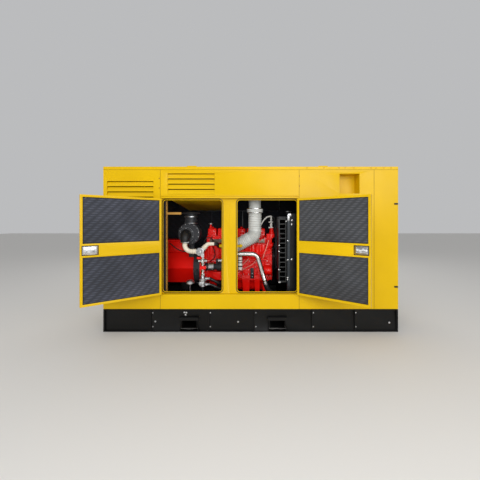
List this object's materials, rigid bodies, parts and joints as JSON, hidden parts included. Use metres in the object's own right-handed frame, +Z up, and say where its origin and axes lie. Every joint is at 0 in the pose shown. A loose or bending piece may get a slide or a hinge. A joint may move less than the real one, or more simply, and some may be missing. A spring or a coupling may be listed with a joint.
{
  "type": "enclosed gas generator set",
  "caption": "Yellow sound-proof generator canopy on a black skid, with two front doors open on a red gas engine, alternator and radiator.",
  "frame": {"origin": "middle of the skid's underside, on the floor", "axes": "+X to the right along the front, +Y towards the rear wall, +Z up; the doors face -Y"},
  "size_m": [3.8, 2.0414, 2.24],
  "materials": {
    "canopy_yellow": "satin powder coat with a soft sheen",
    "base_black": "semi-matt black paint",
    "seal_rubber": "matt black rubber",
    "hinge_black": "black coated steel",
    "bracket_tan": "dull yellow-brown paint",
    "lining_foam": "black faced acoustic foam",
    "door_pad": "dark grey-blue woven facing",
    "lock_zinc": "zinc-plated pressings",
    "engine_red": "gloss red engine enamel",
    "dark_iron": "dark grey to black paint on iron and steel",
    "radiator_black": "matt black paint",
    "duct_cream": "cream duct",
    "cast_metal": "bare cast aluminium",
    "pipe_steel": "plain bright steel pipe",
    "turbo_iron": "bare iron, a little rusty",
    "wrap_white": "silver-white ribbed insulation"
  },
  "bodies": {
    "enclosure": {"skid_rails": "base_black", "skid_deck": "base_black", "forklift_pockets": "base_black", "engine_bearers": "base_black", "front_panel_left": "canopy_yellow", "front_header": "canopy_yellow", "front_sill": "canopy_yellow", "front_panel_right": "canopy_yellow", "corner_panel_right": "canopy_yellow", "door_surround_left": "canopy_yellow", "door_surround_right": "canopy_yellow", "front_louvres": "canopy_yellow", "wall_recess": "canopy_yellow", "door_seals": "seal_rubber", "hinge_knuckles": "hinge_black", "corner_fittings": "hinge_black", "rear_panels": "canopy_yellow", "rear_door_frame": "canopy_yellow", "rear_doors": "canopy_yellow", "end_wall_left": "canopy_yellow", "end_wall_right": "canopy_yellow", "end_louvres": "canopy_yellow", "roof": "canopy_yellow", "roof_baffle": "canopy_yellow", "inner_frame": "bracket_tan", "wall_linings": "lining_foam", "alternator": "engine_red", "terminal_box": "engine_red", "coupling_ring": "dark_iron", "engine_block": "engine_red", "cylinder_head": "engine_red", "rocker_covers": "engine_red", "oil_pan": "engine_red", "timing_cover": "engine_red", "starter_motor": "dark_iron", "thermostat_housing": "engine_red", "belt_drive": "seal_rubber", "fan_guard": "dark_iron", "radiator_core": "radiator_black", "radiator_frame": "radiator_black", "air_cleaner": "dark_iron", "air_elbow": "seal_rubber", "mixture_tubes": "duct_cream", "gas_mixer": "cast_metal", "gas_line": "pipe_steel", "gas_filter": "cast_metal", "gas_regulator": "cast_metal", "coolant_pipe": "pipe_steel", "coolant_hose": "seal_rubber", "turbocharger": "turbo_iron", "charge_hose": "seal_rubber", "exhaust_pipe": "wrap_white", "exhaust_silencer": "wrap_white"},
    "door_left": {"door_left": "canopy_yellow", "door_left_pads": "door_pad", "door_left_lock": "lock_zinc"},
    "door_right": {"door_right": "canopy_yellow", "door_right_pads": "door_pad", "door_right_lock": "lock_zinc"},
    "fan": {"fan": "dark_iron"}
  },
  "joints": [
    {"name": "door_left_hinge", "type": "hinge", "parent": "enclosure", "child": "door_left", "pos_m": [-1.16, -0.734, 1.1], "axis": [0, 0, 1], "range_deg": [-22, 143]},
    {"name": "door_right_hinge", "type": "hinge", "parent": "enclosure", "child": "door_right", "pos_m": [0.62, -0.734, 1.1], "axis": [0, 0, 1], "range_deg": [-143, 22]},
    {"name": "fan_spin", "type": "hinge", "parent": "enclosure", "child": "fan", "pos_m": [0.415, 0, 1.04], "axis": [1, 0, 0], "continuous": true}
  ]
}
